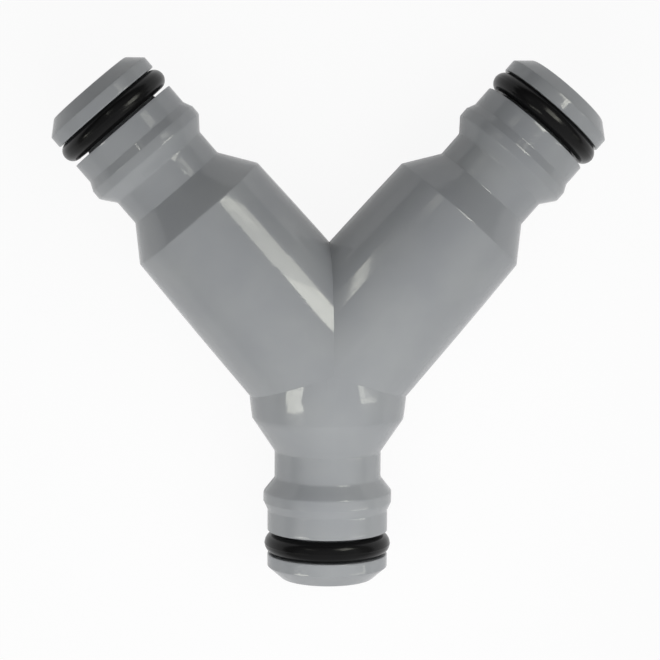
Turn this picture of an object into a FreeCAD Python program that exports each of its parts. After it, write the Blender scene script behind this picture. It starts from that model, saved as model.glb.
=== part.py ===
import FreeCAD, Part
import os
from math import cos, hypot, radians, sin, tan

# Three-way hose connector in millimetres. It lies flat: the three port axes are in one level plane,
# the stem points along -Y and the two arms spread towards +Y, a mirror image of each other across X = 0.

Vector = FreeCAD.Vector

# Bodies of the arms and the stem, from the point where the port axes meet out to the shoulders
arm_angle = 41.0
arm_body_length = 26.15
stem_body_length = 7.25
hub_radius = 10.7
arm_taper_angle = 1.0
stem_taper_angle = 4.88
belly_distance = 9.0
shoulder_radius = 10.12

# Lengths along a port, outwards from its shoulder
shoulder_length = 4.45
neck_length = 3.55
collar_back_length = 1.85
collar_land_length = 1.35
collar_ramp_length = 1.1
shank_length = 2.8
tip_length = 3.3
chamfer_depth = 1.65

# Radii of a port, and the steps up, down and inwards from them
shank_radius = 8.0
collar_height = 0.5
latch_depth = 1.47
chamfer_width = 1.87

# Seal ring and its groove
ring_section = 2.75
ring_proud = 0.37
ring_play = 0.4
seat_clearance = 0.02

# Waterway
groove_wall = 1.3
mouth_chamfer = 0.5

# Edge roundings
belly_round = 400.0
shoulder_edge_round = 0.5
neck_root_round = 0.3
collar_edge_round = 0.5
ramp_foot_round = 0.6
groove_edge_round = 0.15
groove_root_round = 0.3
tip_edge_round = 0.35
face_edge_round = 0.45

# Sizes worked out from those above
collar_radius = shank_radius + collar_height
neck_radius = collar_radius - latch_depth
end_face_radius = shank_radius - chamfer_width
groove_width = ring_section + ring_play
groove_floor_radius = shank_radius + ring_proud - ring_section - seat_clearance
bore_radius = groove_floor_radius - groove_wall

# Stations along a port, outwards from its shoulder
neck_start = shoulder_length
neck_end = neck_start + neck_length
collar_start = neck_end + collar_back_length
collar_end = collar_start + collar_land_length
shank_start = collar_end + collar_ramp_length
groove_start = shank_start + shank_length
groove_end = groove_start + groove_width
port_length = groove_end + tip_length
chamfer_start = port_length - chamfer_depth

spread = radians(arm_angle)
arm_taper = radians(arm_taper_angle)
stem_taper = radians(stem_taper_angle)


# Radius, at a distance from the hub's centre, of a taper that touches the ball round the hub
def tapered_radius(distance, taper):
    return hub_radius / cos(taper) - distance * tan(taper)


# Start, middle and end of the arc that rounds a corner, kept under half of the sides next to it
def corner_arc(last_point, point, next_point, rounding):
    to_last = last_point - point
    to_next = next_point - point
    half_angle = to_last.getAngle(to_next) / 2
    setback = min(rounding / tan(half_angle), 0.45 * to_last.Length, 0.45 * to_next.Length)
    arc_radius = setback * tan(half_angle)
    to_last.normalize()
    to_next.normalize()
    to_centre = (to_last + to_next).normalize()
    middle = point + to_centre * (hypot(setback, arc_radius) - arc_radius)
    return point + to_last * setback, middle, point + to_next * setback


# Solid turned about Z from the corners of half its section, each one (radius, height, rounding)
def turned(corners):
    points = [Vector(radius, 0, height) for radius, height, rounding in corners]
    next_points = points[1:] + points[:1]
    arcs = []
    for index, (radius, height, rounding) in enumerate(corners):
        if rounding:
            arcs.append(corner_arc(points[index - 1], points[index], next_points[index], rounding))
        else:
            arcs.append((points[index], points[index], points[index]))
    edges = []
    for (start, middle, end), next_arc in zip(arcs, arcs[1:] + arcs[:1]):
        if start != end:
            edges.append(Part.Arc(start, middle, end).toShape())
        edges.append(Part.LineSegment(end, next_arc[0]).toShape())
    section = Part.Face(Part.Wire(edges))
    return section.revolve(Vector(0, 0, 0), Vector(0, 0, 1), 360)


# Turns a solid that was made along +Z onto the axis of a port, with the seam of its faces
# half way between the top and the side, clear of the mitres
def along_port(solid, direction):
    upright = Vector(0, 0, 1)
    seam_side = upright + direction.cross(upright)
    turn = FreeCAD.Rotation(seam_side, direction.cross(seam_side), direction, "ZXY")
    solid.Placement = FreeCAD.Placement(Vector(0, 0, 0), turn)
    return solid


# Cuts a solid back to its own side of the plane in which two tapers round one ball meet
def mitred(solid, direction, taper, other_direction, other_taper, ball_radius):
    normal = direction / cos(taper) - other_direction / cos(other_taper)
    offset = ball_radius * (tan(taper) - tan(other_taper)) / normal.dot(normal)
    size = 4 * (arm_body_length + port_length)
    waste = Part.makeBox(size, size, size, Vector(-size / 2, -size / 2, -size))
    waste.Placement = FreeCAD.Placement(normal * offset, FreeCAD.Rotation(Vector(0, 0, 1), normal))
    return solid.cut(waste)


# The outside of one port, from past the hub to its open end; an arm bulges a little before its shoulder
def port_outside(body_length, taper, is_arm):
    past_hub = -hub_radius
    corners = [
        (0, past_hub, 0),
        (tapered_radius(past_hub, taper), past_hub, 0),
    ]
    if is_arm:
        belly = body_length - belly_distance
        corners.append((tapered_radius(belly, taper), belly, belly_round))
        corners.append((shoulder_radius, body_length, shoulder_edge_round))
    else:
        corners.append((tapered_radius(body_length, taper), body_length, shoulder_edge_round))
    corners += [
        (neck_radius, body_length + neck_start, neck_root_round),
        (neck_radius, body_length + neck_end, neck_root_round),
        (collar_radius, body_length + collar_start, collar_edge_round),
        (collar_radius, body_length + collar_end, collar_edge_round),
        (shank_radius, body_length + shank_start, ramp_foot_round),
        (shank_radius, body_length + groove_start, groove_edge_round),
        (groove_floor_radius, body_length + groove_start, groove_root_round),
        (groove_floor_radius, body_length + groove_end, groove_root_round),
        (shank_radius, body_length + groove_end, groove_edge_round),
        (shank_radius, body_length + chamfer_start, tip_edge_round),
        (end_face_radius, body_length + port_length, face_edge_round),
        (0, body_length + port_length, 0),
    ]
    return turned(corners)


# The waterway of one port, from past the hub to its chamfered mouth
def port_waterway(body_length):
    past_hub = -bore_radius
    mouth = body_length + port_length
    return turned([
        (0, past_hub, 0),
        (bore_radius, past_hub, 0),
        (bore_radius, mouth - mouth_chamfer, 0),
        (bore_radius + 2 * mouth_chamfer, mouth + mouth_chamfer, 0),
        (0, mouth + mouth_chamfer, 0),
    ])


# The seal ring of one port, on its groove's floor and against the outer wall
def seal_ring(body_length):
    section_radius = ring_section / 2
    ring_radius = groove_floor_radius + seat_clearance + section_radius
    height = body_length + groove_end - seat_clearance - section_radius
    return Part.makeTorus(ring_radius, section_radius, Vector(0, 0, height))


ports = {
    "left": (Vector(-sin(spread), cos(spread), 0), arm_body_length, arm_taper, True),
    "right": (Vector(sin(spread), cos(spread), 0), arm_body_length, arm_taper, True),
    "stem": (Vector(0, -1, 0), stem_body_length, stem_taper, False),
}

outsides = []
waterways = []
rings = {}
for name, (direction, body_length, taper, is_arm) in ports.items():
    outside = along_port(port_outside(body_length, taper, is_arm), direction)
    waterway = along_port(port_waterway(body_length), direction)
    for other_name, (other_direction, other_length, other_taper, other_is_arm) in ports.items():
        if other_name != name:
            outside = mitred(outside, direction, taper, other_direction, other_taper, hub_radius)
            waterway = mitred(waterway, direction, 0, other_direction, 0, bore_radius)
    outsides.append(outside)
    waterways.append(waterway)
    rings[name] = along_port(seal_ring(body_length), direction)

body = outsides[0].fuse(outsides[1:]).removeSplitter()
passage = waterways[0].fuse(waterways[1:]).removeSplitter()

nodes = {"connector_body": body.cut(passage)}
for name, ring in rings.items():
    nodes[name + "_o_ring"] = ring

# The origin is the middle of the footprint, on the surface that the connector lies on
box = body.optimalBoundingBox(False, False)
to_origin = Vector(-(box.XMin + box.XMax) / 2, -(box.YMin + box.YMax) / 2, -box.ZMin)

os.makedirs("parts", exist_ok=True)
for name, shape in nodes.items():
    shape.translate(to_origin)
    shape.exportStep("parts/" + name + ".step")
    print(name, "valid", shape.isValid(), "solids", len(shape.Solids), "volume", round(shape.Volume, 2))
print("port axes meet at", to_origin)
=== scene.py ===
from math import cos, pi, radians, sin, tan

import bmesh
import bpy
from mathutils import Matrix, Vector


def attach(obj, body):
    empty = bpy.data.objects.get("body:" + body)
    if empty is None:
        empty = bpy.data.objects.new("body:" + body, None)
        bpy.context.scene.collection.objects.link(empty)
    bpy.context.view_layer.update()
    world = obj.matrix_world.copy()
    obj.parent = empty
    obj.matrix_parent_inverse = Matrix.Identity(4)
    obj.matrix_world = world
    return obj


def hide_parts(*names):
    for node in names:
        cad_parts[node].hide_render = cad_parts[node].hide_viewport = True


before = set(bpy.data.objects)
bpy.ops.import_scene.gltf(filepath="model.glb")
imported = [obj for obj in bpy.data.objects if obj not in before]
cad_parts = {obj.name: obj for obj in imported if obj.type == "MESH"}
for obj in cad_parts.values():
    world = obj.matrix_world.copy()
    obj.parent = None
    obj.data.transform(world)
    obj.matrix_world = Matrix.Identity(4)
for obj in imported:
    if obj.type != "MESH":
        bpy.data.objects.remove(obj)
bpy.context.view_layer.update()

mm = 0.001
hair = 0.001 * mm  # places closer together than this are the same

# where the three port axes meet, and which way each port points from there
hub = {
    "place": Vector((0, -5.610, 10.7038)) * mm,
    "ballRadius": 10.7,
    "armAngle": 41.0,
    "armTaper": 1.0,
    "stemTaper": 4.88,
    "armLength": 26.15,      # hub to shoulder
    "stemLength": 7.25,
}
spread = radians(hub["armAngle"])
ports = {
    "left": Vector((-sin(spread), cos(spread), 0)),
    "right": Vector((sin(spread), cos(spread), 0)),
    "stem": Vector((0, -1, 0)),
}


# helpers for edit mode

def deselectAll():
    if bpy.context.mode != "OBJECT":
        bpy.ops.object.mode_set(mode="OBJECT")
    bpy.ops.object.select_all(action="DESELECT")


def pick(kind, test):
    # selects the verts, edges or faces that pass the test on themselves and their middle
    bpy.ops.mesh.select_mode(type={"verts": "VERT", "edges": "EDGE", "faces": "FACE"}[kind])
    bpy.ops.mesh.select_all(action="DESELECT")
    mesh = bmesh.from_edit_mesh(bpy.context.edit_object.data)
    for part in getattr(mesh, kind):
        if kind == "verts":
            middle = part.co
        elif kind == "edges":
            middle = (part.verts[0].co + part.verts[1].co) / 2
        else:
            middle = part.calc_center_median()
        if test(part, middle):
            part.select_set(True)
    mesh.select_flush_mode()
    bmesh.update_edit_mesh(bpy.context.edit_object.data)


def finishPiece(piece, name, node):
    bpy.ops.object.transform_apply(location=True, rotation=True, scale=True)
    piece.name = name
    piece.data.name = name
    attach(piece, "root")
    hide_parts(node)
    print(name, len(piece.data.vertices), "points", len(piece.data.polygons), "faces")


# connector shell: each port's section is drawn in the middle plane and spun round its axis

shell = {
    "sides": 144,
    "shoulderRadius": 10.12,
    "bellyBack": 9.0,        # where an arm is fullest, back from its shoulder
    "shoulder": 4.45,        # lengths along a port, outwards
    "neck": 3.55,
    "collarBack": 1.85,
    "collarLand": 1.35,
    "collarRamp": 1.1,
    "shank": 2.8,
    "groove": 3.15,
    "tip": 3.3,
    "chamfer": 1.65,
    "neckRadius": 7.03,      # radii
    "collarRadius": 8.5,
    "shankRadius": 8.0,
    "grooveRadius": 5.6,
    "faceRadius": 6.13,
    "boreRadius": 4.3,
    "mouthChamfer": 0.5,
    "stemCrownAt": 5.6,      # from here the stem's body turns in a little more
    "stemCrownTaper": 8.5,
    "creaseRound": 0.16,     # on the lines where two ports meet
    "creaseSegments": 4,
    "creaseFrom": 9.0,       # those nearer to the hub are inside, where the bores meet
    "seamHalfWidth": 0.11,   # fine parting line left by the mould, round the middle plane
    "seamHeight": 0.045,
    "seamFrom": 6.2,
    "rimJoin": 0.004,        # how far apart the points of two ports may be where they meet
    "normalWeight": 90,      # large faces count for more in the smooth shading
    "normalThreshold": 1e-9, # and faces whose areas differ by less, in m2, count alike
}

# roundings of a port's corners, each with its number of segments
rounding = {
    "belly": (400.0, 12),
    "stemCrown": (60.0, 8),
    "shoulder": (0.5, 5),
    "neckRoot": (0.3, 4),
    "collarRoot": (0.6, 5),
    "collarEdge": (0.5, 5),
    "rampEdge": (0.5, 4),
    "rampFoot": (0.3, 4),
    "grooveNearEdge": (0.08, 3),
    "grooveRoot": (0.3, 4),
    "grooveFarEdge": (0.15, 3),
    "tipEdge": (0.15, 4),
    "faceEdge": (0.45, 5),
    "mouthEdge": (0.12, 3),
    "sharp": (0, 0),
}

portParts = ("shoulder", "neck", "collarBack", "collarLand", "collarRamp", "shank", "groove", "tip")


def taperOf(name):
    return radians(hub["stemTaper"] if name == "stem" else hub["armTaper"])


def bodyLength(name):
    return hub["stemLength"] if name == "stem" else hub["armLength"]


def endOf(name, part):
    # distance from the hub to the far end of one part of a port
    last = portParts.index(part)
    return bodyLength(name) + sum(shell[each] for each in portParts[:last + 1])


def taperedRadius(distance, taper):
    return hub["ballRadius"] / cos(taper) - distance * tan(taper)


def portSection(name):
    # corners from past the hub, along the outside, in at the mouth and back down the bore:
    # distance from the hub, radius, rounding, its segments, cuts before the next corner
    s = shell
    r = rounding
    taper = taperOf(name)
    start = -hub["ballRadius"]
    body = bodyLength(name)
    collarFoot = endOf(name, "neck")
    grooveStart = endOf(name, "shank")
    grooveEnd = endOf(name, "groove")
    end = endOf(name, "tip")

    corners = [(start, taperedRadius(start, taper), *r["sharp"], 0)]
    if name == "stem":
        crown = s["stemCrownAt"]
        fall = (body - crown) * tan(radians(s["stemCrownTaper"]))
        corners.append((crown, taperedRadius(crown, taper), *r["stemCrown"], 0))
        corners.append((body, taperedRadius(crown, taper) - fall, *r["shoulder"], 4))
    else:
        belly = body - s["bellyBack"]
        corners.append((belly, taperedRadius(belly, taper), *r["belly"], 3))
        corners.append((body, s["shoulderRadius"], *r["shoulder"], 4))
    return corners + [
        (endOf(name, "shoulder"), s["neckRadius"], *r["neckRoot"], 3),
        (collarFoot, s["neckRadius"], *r["collarRoot"], 1),
        (endOf(name, "collarBack"), s["collarRadius"], *r["collarEdge"], 0),
        (endOf(name, "collarLand"), s["collarRadius"], *r["rampEdge"], 0),
        (endOf(name, "collarRamp"), s["shankRadius"], *r["rampFoot"], 5),
        (grooveStart, s["shankRadius"], *r["grooveNearEdge"], 1),
        (grooveStart, s["grooveRadius"], *r["grooveRoot"], 1),
        (grooveEnd, s["grooveRadius"], *r["grooveRoot"], 1),
        (grooveEnd, s["shankRadius"], *r["grooveFarEdge"], 4),
        (end - s["chamfer"], s["shankRadius"], *r["tipEdge"], 1),
        (end, s["faceRadius"], *r["faceEdge"], 1),
        (end, s["boreRadius"] + s["mouthChamfer"], *r["mouthEdge"], 0),
        (end - s["mouthChamfer"], s["boreRadius"], *r["mouthEdge"], 0),
        (-s["boreRadius"], s["boreRadius"], *r["sharp"], 0),
    ]


def turnPort(name):
    along = ports[name]
    outwards = Vector((-along.y, along.x, 0))
    corners = portSection(name)
    places = [hub["place"] + (along * distance + outwards * radius) * mm
              for distance, radius, arc, segments, cuts in corners]

    deselectAll()
    bpy.ops.mesh.primitive_plane_add(size=mm, location=places[0])
    piece = bpy.context.object
    bpy.ops.object.transform_apply(location=True)
    bpy.ops.object.mode_set(mode="EDIT")
    bpy.ops.mesh.select_mode(type="VERT")
    bpy.ops.mesh.select_all(action="SELECT")
    bpy.ops.mesh.merge(type="CENTER")
    for here, there in zip(places, places[1:]):
        bpy.ops.mesh.extrude_region_move(TRANSFORM_OT_translate={"value": there - here})
    for index, (distance, radius, arc, segments, cuts) in enumerate(corners):
        if cuts:
            middle = (places[index] + places[index + 1]) / 2
            pick("edges", lambda edge, place: (place - middle).length < hair)
            bpy.ops.mesh.subdivide(number_cuts=cuts)
    for index, (distance, radius, arc, segments, cuts) in enumerate(corners):
        if arc:
            last = places[index - 1] - places[index]
            following = places[index + 1] - places[index]
            setback = arc * mm / tan(last.angle(following) / 2)
            pick("verts", lambda vert, place: (place - places[index]).length < hair)
            bpy.ops.mesh.bevel(offset_type="OFFSET", offset=setback, segments=segments,
                               affect="VERTICES", clamp_overlap=True)

    bpy.ops.mesh.select_all(action="SELECT")
    bpy.ops.mesh.spin(steps=shell["sides"], angle=2 * pi, center=hub["place"], axis=along,
                      use_auto_merge=True)

    # cut back to its own side of the planes in which it meets the other two ports,
    # the outside first and then the bore
    for inside in (False, True):
        for otherName in ports:
            if otherName != name:
                place, normal = mitrePlane(name, otherName, inside)
                pick("faces", lambda face, middle: isInBore(middle, along) == inside)
                bpy.ops.mesh.bisect(plane_co=place, plane_no=normal, clear_inner=True,
                                    threshold=0.1 * hair)
    bpy.ops.object.mode_set(mode="OBJECT")
    return piece


def mitrePlane(name, otherName, inside):
    ball = hub["ballRadius"]
    taper, otherTaper = taperOf(name), taperOf(otherName)
    if inside:
        ball = shell["boreRadius"]
        taper = otherTaper = 0
    normal = ports[name] / cos(taper) - ports[otherName] / cos(otherTaper)
    offset = ball * mm * (tan(taper) - tan(otherTaper)) / normal.dot(normal)
    return hub["place"] + normal * offset, normal.normalized()


def isInBore(place, along):
    return (place - hub["place"]).cross(along).length < shell["boreRadius"] * mm + 50 * hair


def joinPorts(pieces):
    deselectAll()
    for piece in pieces:
        piece.select_set(True)
    bpy.context.view_layer.objects.active = pieces[0]
    bpy.ops.object.join()
    bpy.ops.object.mode_set(mode="EDIT")

    bpy.ops.mesh.select_mode(type="VERT")
    bpy.ops.mesh.select_all(action="SELECT")
    bpy.ops.mesh.remove_doubles(threshold=shell["rimJoin"] * mm)

    # the stem's rims have as many points as the arms' rims beside them. Those that are still
    # apart meet half way, in order of height
    offMiddle = 50 * hair
    outside = 2 * shell["boreRadius"] * mm
    for armName, side in (("left", -1), ("right", 1)):
        place, normal = mitrePlane(armName, "stem", False)
        mesh = bmesh.from_edit_mesh(bpy.context.edit_object.data)
        armRim = []
        stemRim = []
        for vert in mesh.verts:
            fromHub = vert.co - hub["place"]
            if (vert.is_boundary and fromHub.x * side > offMiddle and abs(fromHub.z) > offMiddle
                    and fromHub.length > outside):
                centre = sum((face.calc_center_median() for face in vert.link_faces), Vector())
                centre /= len(vert.link_faces)
                (armRim if (centre - place).dot(normal) > 0 else stemRim).append(vert)
        armRim.sort(key=lambda vert: vert.co.z)
        stemRim.sort(key=lambda vert: vert.co.z)
        for armVert, stemVert in zip(armRim, stemRim):
            armVert.co = stemVert.co = (armVert.co + stemVert.co) / 2
        bmesh.update_edit_mesh(bpy.context.edit_object.data)
    bpy.ops.mesh.remove_doubles(threshold=hair)
    bpy.ops.mesh.normals_make_consistent(inside=False)
    return bpy.context.object


def roundCreases():
    planes = [mitrePlane(name, otherName, False)
              for name, otherName in (("left", "right"), ("left", "stem"), ("right", "stem"))]

    def isCrease(edge, middle):
        if (middle - hub["place"]).length < shell["creaseFrom"] * mm:
            return False
        ends = [vert.co for vert in edge.verts]
        for place, normal in planes:
            if all(abs((end - place).dot(normal)) < 2 * hair for end in ends):
                return True
        return False
    pick("edges", isCrease)
    bpy.ops.mesh.bevel(offset_type="OFFSET", offset=shell["creaseRound"] * mm,
                       segments=shell["creaseSegments"], affect="EDGES", clamp_overlap=True)


def raiseSeam():
    # on the outside as far as the collar. It's cut a hair's width each side of the middle
    # plane, then the points in the plane are pushed out
    def hasSeam(place):
        fromHub = place - hub["place"]
        if fromHub.length < shell["seamFrom"] * mm:
            return False
        nearest = max(ports, key=lambda name: fromHub.dot(ports[name]))
        reach = endOf(nearest, "collarLand") * mm
        return not isInBore(place, ports[nearest]) and fromHub.dot(ports[nearest]) < reach
    for side in (-1, 1):
        aside = Vector((0, 0, side * shell["seamHalfWidth"] * mm))
        pick("faces", lambda face, place: hasSeam(place))
        bpy.ops.mesh.bisect(plane_co=hub["place"] + aside, plane_no=(0, 0, 1), threshold=hair)
    pick("verts", lambda vert, place: abs(place.z - hub["place"].z) < 2 * hair and hasSeam(place))
    bpy.ops.transform.shrink_fatten(value=shell["seamHeight"] * mm)


print("shell: turning the three ports")
turned = [turnPort(name) for name in ports]
print("shell: joining them at the hub")
body = joinPorts(turned)
print("shell: creases and parting line")
roundCreases()
raiseSeam()
bpy.ops.mesh.select_all(action="SELECT")
bpy.ops.mesh.remove_doubles(threshold=hair)
bpy.ops.mesh.dissolve_degenerate(threshold=0.5 * hair)
bpy.ops.mesh.normals_make_consistent(inside=False)
bpy.ops.object.mode_set(mode="OBJECT")
bpy.ops.object.shade_smooth()
steady = body.modifiers.new("steady", "WEIGHTED_NORMAL")
steady.weight = shell["normalWeight"]
steady.thresh = shell["normalThreshold"]
bpy.ops.object.modifier_apply(modifier="steady")
finishPiece(body, "connectorShell", "connector_body")


# seal rings: a torus with the fine flash that its two mould halves leave round the outside

seal = {
    "section": 2.75,
    "clearance": 0.02,
    "sides": 144,
    "roundSection": 40,
    "flashHalfWidth": 0.05,
    "flashHeight": 0.03,
}


def makeSeal(name):
    along = ports[name]
    halfSection = seal["section"] / 2
    distance = endOf(name, "groove") - seal["clearance"] - halfSection
    centre = hub["place"] + along * distance * mm
    ringRadius = (shell["grooveRadius"] + seal["clearance"] + halfSection) * mm
    upright = Vector((0, 0, 1))
    deselectAll()
    bpy.ops.mesh.primitive_torus_add(
        location=centre, rotation=upright.rotation_difference(along).to_euler(),
        major_segments=seal["sides"], minor_segments=seal["roundSection"],
        major_radius=ringRadius, minor_radius=halfSection * mm)
    ring = bpy.context.object
    bpy.ops.object.transform_apply(location=True, rotation=True)
    bpy.ops.object.mode_set(mode="EDIT")

    def isMidway(place):
        return abs((place - centre).dot(along)) < hair
    pick("edges", lambda edge, place: all(isMidway(vert.co) for vert in edge.verts))
    bpy.ops.mesh.bevel(offset_type="OFFSET", offset=seal["flashHalfWidth"] * mm, segments=2,
                       affect="EDGES")
    pick("verts", lambda vert, place: isMidway(place) and (place - centre).length > ringRadius)
    bpy.ops.transform.shrink_fatten(value=seal["flashHeight"] * mm)
    bpy.ops.object.mode_set(mode="OBJECT")
    bpy.ops.object.shade_smooth()
    finishPiece(ring, name + "SealRing", name + "_o_ring")
    return ring


print("seal rings")
seals = [makeSeal(name) for name in ports]


# materials

class Wire:
    # a socket of a node tree, or the tree alone; sums on it become Math nodes
    def __init__(self, tree, socket=None):
        self.tree = tree
        self.socket = socket

    def node(self, kind, settings=None, inputs=None, output=0):
        made = self.tree.nodes.new("ShaderNode" + kind)
        for name, value in (settings or {}).items():
            if name == "stops":
                stops = made.color_ramp.elements
                for stop in list(stops)[1:]:
                    stops.remove(stop)
                for index, (position, colour) in enumerate(value):
                    stop = stops.new(position) if index else stops[0]
                    stop.position = position
                    stop.color = (*colour, 1)
            else:
                setattr(made, name, value)
        for name, value in (inputs or {}).items():
            if isinstance(value, Wire):
                self.tree.links.new(value.socket, made.inputs[name])
            else:
                made.inputs[name].default_value = value
        return Wire(self.tree, made.outputs[output]) if made.outputs else made

    def maths(self, operation, first, second=0.0):
        return self.node("Math", {"operation": operation}, {0: first, 1: second})

    def dot(self, vector, other):
        return self.node("VectorMath", {"operation": "DOT_PRODUCT"}, {0: vector, 1: other}, "Value")

    def mixed(self, share, colour, other):
        # of two colours, each one a socket or red, green and blue
        colour, other = [each if isinstance(each, Wire) else (*each, 1) for each in (colour, other)]
        return self.node("Mix", {"data_type": "RGBA"}, {0: share, 6: colour, 7: other}, 2)

    def noise(self, place, size, detail):
        # size in mm
        return self.node("TexNoise", {}, {"Vector": place, "Scale": 1 / mm / size,
                                          "Detail": detail}, "Fac")

    def __add__(self, other):
        return self.maths("ADD", self, other)

    def __sub__(self, other):
        return self.maths("SUBTRACT", self, other)

    def __rsub__(self, other):
        return self.maths("SUBTRACT", other, self)

    def __mul__(self, other):
        return self.maths("MULTIPLY", self, other)

    __radd__ = __add__
    __rmul__ = __mul__


def newMaterial(name):
    material = bpy.data.materials.new(name)
    material.use_nodes = True
    material.node_tree.nodes.clear()
    return material, Wire(material.node_tree)


plastic = {
    "colour": (0.300, 0.312, 0.322),
    "paleColour": (0.336, 0.348, 0.351),
    "cloudSize": 9.0,        # mm
    "cloudRange": (0.3, 0.7),
    "roughness": 0.055,
    "roughnessSpread": 0.03,
    "ior": 1.5,
    "waviness": 0.02,        # sink marks and flow lines, mm
    "wavinessSize": 9.0,
    "grain": 0.0006,
    "grainSize": 0.25,
    "scuffLength": 7.0,      # fine scuffs from handling, only seen in the gloss
    "scuffWidth": 0.11,
    "scuffDepth": 0.0012,
    "scuffRoughness": 0.12,
    "scuffRange": (0.64, 0.7),
    "scuffTurns": ((0.15, 0.2, 0.5), (0.57, 0.2, 1.9), (0.84, 0.2, 2.8)),
}


def makePlastic():
    p = plastic
    material, tree = newMaterial("greyPlastic")
    place = tree.node("TexCoord", output="Object")
    clouds = tree.noise(place, p["cloudSize"], 3.0)
    flow = tree.noise(place, p["wavinessSize"], 1.0)
    grain = tree.noise(place, p["grainSize"], 2.0)
    stretch = [1 / mm / p[size] for size in ("scuffLength", "scuffWidth", "scuffWidth")]
    scuffs = None
    for turn in p["scuffTurns"]:
        along = tree.node("Mapping", {}, {"Vector": place, "Rotation": turn, "Scale": stretch})
        streak = tree.node("TexNoise", {}, {"Vector": along, "Scale": 1.0, "Detail": 1.0}, "Fac")
        scuff = tree.node("MapRange", {}, {"Value": streak, "From Min": p["scuffRange"][0],
                                           "From Max": p["scuffRange"][1]})
        scuffs = scuff if scuffs is None else tree.maths("MAXIMUM", scuffs, scuff)
    contrast = tree.node("MapRange", {}, {"Value": clouds, "From Min": p["cloudRange"][0],
                                          "From Max": p["cloudRange"][1]})
    colour = tree.mixed(contrast, p["colour"], p["paleColour"])
    rough = p["roughness"] + p["roughnessSpread"] * (clouds - 0.5) + p["scuffRoughness"] * scuffs
    height = ((flow - 0.5) * (p["waviness"] * mm) + (grain - 0.5) * (p["grain"] * mm)
              - scuffs * (p["scuffDepth"] * mm))
    bump = tree.node("Bump", {}, {"Height": height, "Distance": 1.0, "Strength": 1.0})
    surface = tree.node("BsdfPrincipled", {}, {
        "Base Color": colour, "Roughness": rough, "Normal": bump, "IOR": p["ior"]})
    tree.node("OutputMaterial", {}, {"Surface": surface})
    return material


rubber = {
    "colour": (0.003, 0.003, 0.003),
    "greyColour": (0.007, 0.007, 0.007),
    "cloudSize": 4.0,
    "roughness": 0.2,
    "roughnessSpread": 0.12,
    "ior": 1.3,
    "grain": 0.003,
    "grainSize": 0.2,
}


def makeRubber():
    r = rubber
    material, tree = newMaterial("blackRubber")
    place = tree.node("TexCoord", output="Object")
    clouds = tree.noise(place, r["cloudSize"], 4.0)
    grain = tree.noise(place, r["grainSize"], 3.0)
    colour = tree.mixed(clouds, r["colour"], r["greyColour"])
    rough = r["roughness"] + r["roughnessSpread"] * (clouds - 0.5)
    height = grain * (r["grain"] * mm)
    bump = tree.node("Bump", {}, {"Height": height, "Distance": 1.0, "Strength": 1.0})
    surface = tree.node("BsdfPrincipled", {}, {
        "Base Color": colour, "Roughness": rough, "Normal": bump, "IOR": r["ior"]})
    tree.node("OutputMaterial", {}, {"Surface": surface})
    return material


print("materials")
body.data.materials.clear()
body.data.materials.append(makePlastic())
rubberMaterial = makeRubber()
for ring in seals:
    ring.data.materials.clear()
    ring.data.materials.append(rubberMaterial)


# studio

studio = {
    "floorRadius": 4.0,       # m
    "floorSides": 96,
    "floorDrop": 0.02,        # mm below the connector
    "floorColour": (0.92, 0.92, 0.92),
    "floorWhite": 0.92,       # how much of the floor is plain white, the rest keeps the shadow
    "floorInGloss": 0.5,      # how much of that white is left in reflections
    "glossColour": (1, 1, 0.88),
    "camera": (-19.054, 28.204, 288.596),     # mm
    "cameraTurn": (-6.0552, -3.9175, 0.3997),
    "lens": 115.44,
    "sensor": 36,
    "clip": (0.01, 20),
}


def makeFloor():
    deselectAll()
    bpy.ops.mesh.primitive_circle_add(
        vertices=studio["floorSides"], radius=studio["floorRadius"], fill_type="NGON",
        location=(0, 0, -studio["floorDrop"] * mm))
    floor = bpy.context.object
    floor.name = "floor"
    bpy.ops.object.transform_apply(location=True)
    material, tree = newMaterial("whiteFloor")
    camera, glossy, through = [tree.node("LightPath", output="Is " + kind + " Ray")
                               for kind in ("Camera", "Glossy", "Transmission")]
    seen = tree.maths("MAXIMUM", tree.maths("MAXIMUM", camera, through),
                      glossy * studio["floorInGloss"])
    lit = tree.node("BsdfDiffuse", {}, {"Color": (*studio["floorColour"], 1)})
    white = tree.node("Emission", {}, {"Color": (1, 1, 1, 1), "Strength": 1.0})
    surface = tree.node("MixShader", {}, {0: seen * studio["floorWhite"], 1: lit, 2: white})
    tree.node("OutputMaterial", {}, {"Surface": surface})
    floor.data.materials.append(material)


softboxes = {
    # degrees round from +X, degrees up, distance in metres, turn in its own plane, width and
    # height in degrees, brightness, and whether it lights the object or only shows in its gloss
    "near": (270, 67, 0.06, 0, 57, 52, 1.65, "light"),
    "sideRight": (12, 36, 0.50, 0, 60, 40, 1.05, "light"),
    "sideLeft": (205, 25, 0.14, 0, 50, 40, 0.75, "light"),
    "cardHot": (40.0, 46.2, 0.10, -8.7, 7, 25, 7.8, "gloss"),
    "cardRight": (53.5, 43.6, 0.10, -18.3, 13, 25, 4.2, "gloss"),
    "cardRightFar": (47.2, 43.6, 0.50, -10, 4, 15, 2.0, "gloss"),
    "cardLeft": (134, 37.5, 0.25, 0, 1.5, 19, 6.0, "gloss"),
    "cardLeftFar": (126.4, 43.6, 0.50, 10, 2, 13, 1.2, "gloss"),
    "stripLeft": (201.9, 33.5, 2.0, -15, 4.1, 26, 6.8, "gloss"),
    "stripRight": (341.8, 31.5, 2.0, 13, 2.3, 32, 4.8, "gloss"),
}


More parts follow.
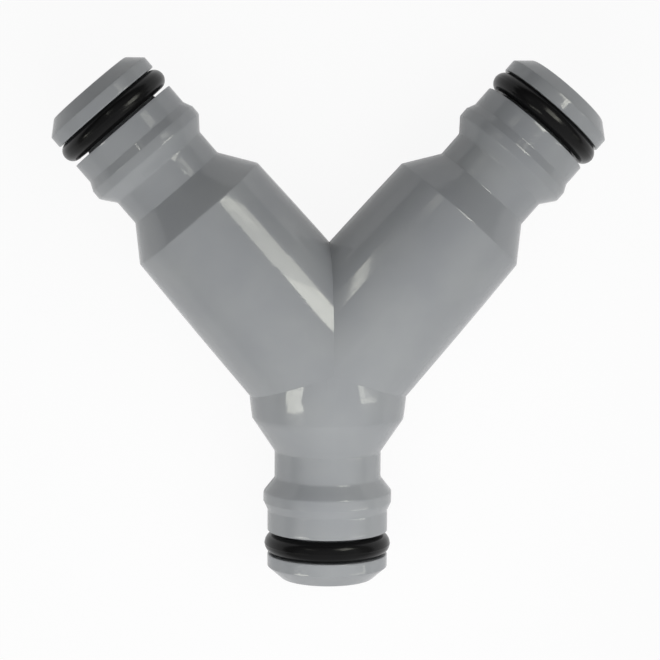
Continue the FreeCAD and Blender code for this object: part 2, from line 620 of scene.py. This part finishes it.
def makeSoftbox(name, azimuth, elevation, distance, turn, width, height, brightness, use):
    a, e = radians(azimuth), radians(elevation)
    back = Vector((cos(a) * cos(e), sin(a) * cos(e), sin(e)))
    across = Vector((-sin(a), cos(a), 0))
    facing = Matrix((across, back.cross(across), back)).transposed()
    facing = facing @ Matrix.Rotation(radians(turn), 3, "Z")
    bpy.ops.object.light_add(type="AREA", location=hub["place"] + back * distance,
                             rotation=facing.to_euler())
    lamp = bpy.context.object
    lamp.name = name
    lamp.visible_camera = False
    lamp.visible_diffuse = use == "light"
    lamp.visible_glossy = use == "gloss"
    lamp.data.shape = "RECTANGLE"
    lamp.data.size = 2 * distance * tan(radians(width) / 2)
    lamp.data.size_y = 2 * distance * tan(radians(height) / 2)
    lamp.data.color = studio["glossColour"] if use == "gloss" else (1, 1, 1)
    lamp.data.energy = brightness * pi * lamp.data.size * lamp.data.size_y


sky = {
    # brightness by height, from straight down through the horizon to straight up
    "aroundStops": [
        (0.0, (0.6, 0.6, 0.6)),
        (0.52, (0.3, 0.3, 0.3)),
        (0.55, (0.14, 0.14, 0.14)),
        (0.69, (0.14, 0.14, 0.14)),
        (0.79, (0.4, 0.4, 0.41)),
        (1.0, (0.4, 0.4, 0.41)),
    ],
    "frontStops": [
        (0.0, (0.55, 0.55, 0.55)),
        (0.52, (0.45, 0.45, 0.45)),
        (1.0, (0.45, 0.45, 0.46)),
    ],
    "frontFrom": 0.25,        # how far round towards the stem's side the front begins
    "frontBlend": 0.5,
    "brightSide": 310,        # degrees round from +X
    "brightSideGain": 0.45,   # how much brighter the sky is there, and darker across from it
}


def makeWorld():
    world = bpy.data.worlds.new("studio")
    bpy.context.scene.world = world
    world.use_nodes = True
    world.node_tree.nodes.clear()
    tree = Wire(world.node_tree)
    direction = tree.node("TexCoord", output="Generated")
    bright = radians(sky["brightSide"])
    height = tree.dot(direction, (0, 0, 1)) * 0.5 + 0.5
    towardsStem = tree.dot(direction, (0, -1, 0))
    towardsBright = tree.dot(direction, (cos(bright), sin(bright), 0))
    around = tree.node("ValToRGB", {"stops": sky["aroundStops"]}, {0: height}, "Color")
    front = tree.node("ValToRGB", {"stops": sky["frontStops"]}, {0: height}, "Color")
    share = tree.node("Clamp", {}, {0: (towardsStem - sky["frontFrom"]) * (1 / sky["frontBlend"])})
    strength = 1 + towardsBright * sky["brightSideGain"]
    light = tree.node("Background", {}, {"Color": tree.mixed(share, around, front),
                                         "Strength": strength})
    white = tree.node("Background", {}, {"Color": (1, 1, 1, 1), "Strength": 1.0})
    camera, through = [tree.node("LightPath", output="Is " + kind + " Ray")
                       for kind in ("Camera", "Transmission")]
    seen = tree.maths("MAXIMUM", camera, through)
    surface = tree.node("MixShader", {}, {0: seen, 1: light, 2: white})
    tree.node("OutputWorld", {}, {"Surface": surface})


def makeCamera():
    bpy.ops.object.camera_add(location=Vector(studio["camera"]) * mm,
                              rotation=[radians(angle) for angle in studio["cameraTurn"]])
    camera = bpy.context.object
    camera.data.lens = studio["lens"]
    camera.data.sensor_width = studio["sensor"]
    camera.data.clip_start, camera.data.clip_end = studio["clip"]
    bpy.context.scene.camera = camera


print("studio")
makeFloor()
for name, values in softboxes.items():
    makeSoftbox(name, *values)
makeWorld()
makeCamera()
bpy.context.scene.view_settings.view_transform = "Standard"
